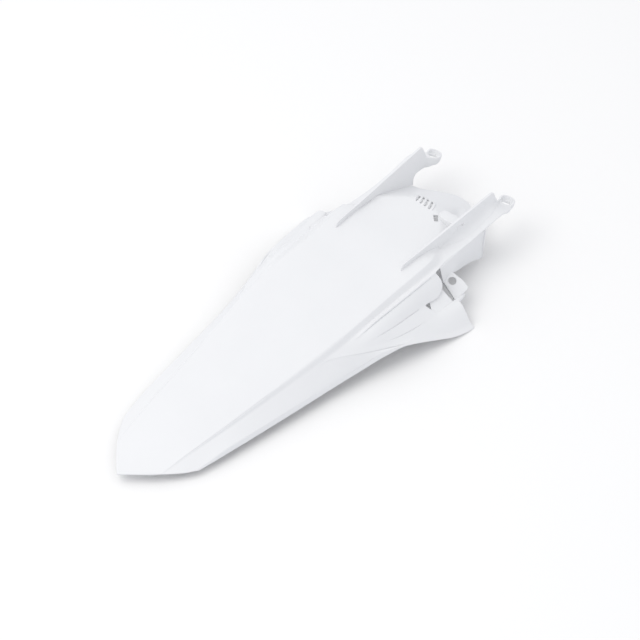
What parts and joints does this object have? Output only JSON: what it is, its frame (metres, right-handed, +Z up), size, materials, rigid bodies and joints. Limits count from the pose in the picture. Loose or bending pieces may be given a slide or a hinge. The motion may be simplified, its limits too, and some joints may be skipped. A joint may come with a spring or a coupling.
{
  "type": "motorcycle rear fender",
  "caption": "White one-piece moulded rear fender of an off-road motorcycle, with a pointed tail, stepped deck, flared side pods and forward arms that end in eyelets.",
  "frame": {"origin": "middle of the overall length and width, at the height of the lowest points, the tips of the two wing flaps", "axes": "+X from the tail towards the mounting arms, the bike's forward direction; +Y to the bike's left; +Z up"},
  "size_m": [0.6148, 0.2766, 0.091],
  "materials": {
    "white_plastic": "satin"
  },
  "bodies": {
    "root": {"rear_fender": "white_plastic"}
  },
  "joints": []
}
